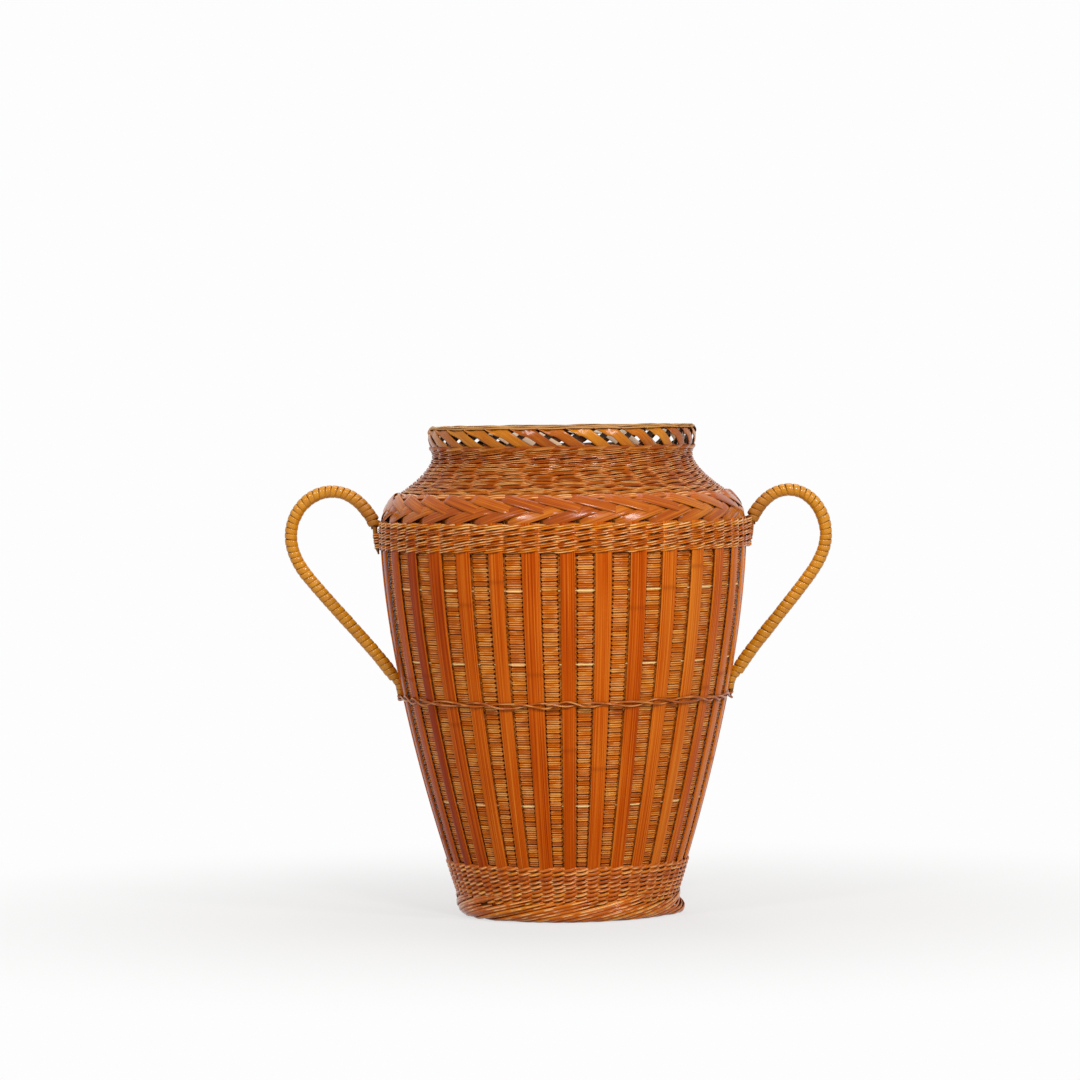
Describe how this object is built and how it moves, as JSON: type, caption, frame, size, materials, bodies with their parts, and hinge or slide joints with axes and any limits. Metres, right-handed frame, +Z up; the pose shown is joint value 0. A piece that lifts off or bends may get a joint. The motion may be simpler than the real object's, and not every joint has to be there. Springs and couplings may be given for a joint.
{
  "type": "woven vase",
  "caption": "Tapering woven bamboo vase with upright slats over a fine weave, twined bands, a braided shoulder, a strap rim and two cane-wrapped loop handles.",
  "frame": {"origin": "centre of the base, on the surface that the vase stands on", "axes": "+Z up, the two handles along X, the front towards -Y"},
  "size_m": [0.281, 0.1916, 0.25],
  "materials": {
    "base_splint": "dull varnished bamboo splint",
    "weave_splint": "varnished fine bamboo splint",
    "slat_bamboo": "gloss varnished, red-brown stained bamboo",
    "band_strand": "varnished twined strand",
    "braid_strip": "varnished flat bamboo strip",
    "neck_strand": "varnished twined strand",
    "rim_strap": "varnished flat bamboo strip",
    "handle_cane": "honey-coloured varnished cane"
  },
  "bodies": {
    "root": {"base_mat": "base_splint", "foot_border": "band_strand", "body_weave": "weave_splint", "lower_band": "band_strand", "slat_01": "slat_bamboo", "slat_02": "slat_bamboo", "slat_03": "slat_bamboo", "slat_04": "slat_bamboo", "slat_05": "slat_bamboo", "slat_06": "slat_bamboo", "slat_07": "slat_bamboo", "slat_08": "slat_bamboo", "slat_09": "slat_bamboo", "slat_10": "slat_bamboo", "slat_11": "slat_bamboo", "slat_12": "slat_bamboo", "slat_13": "slat_bamboo", "slat_14": "slat_bamboo", "slat_15": "slat_bamboo", "slat_16": "slat_bamboo", "slat_17": "slat_bamboo", "slat_18": "slat_bamboo", "slat_19": "slat_bamboo", "slat_20": "slat_bamboo", "slat_21": "slat_bamboo", "slat_22": "slat_bamboo", "slat_23": "slat_bamboo", "slat_24": "slat_bamboo", "slat_25": "slat_bamboo", "slat_26": "slat_bamboo", "slat_27": "slat_bamboo", "slat_28": "slat_bamboo", "slat_29": "slat_bamboo", "slat_30": "slat_bamboo", "slat_31": "slat_bamboo", "slat_32": "slat_bamboo", "waist_strand_upper": "band_strand", "waist_strand_lower": "band_strand", "upper_band": "band_strand", "shoulder_braid": "braid_strip", "neck_weave": "neck_strand", "rim_straps_outer": "rim_strap", "rim_straps_inner": "rim_strap", "handle_core_left": "handle_cane", "handle_core_right": "handle_cane", "handle_wrap_left": "handle_cane", "handle_wrap_right": "handle_cane"}
  },
  "joints": []
}
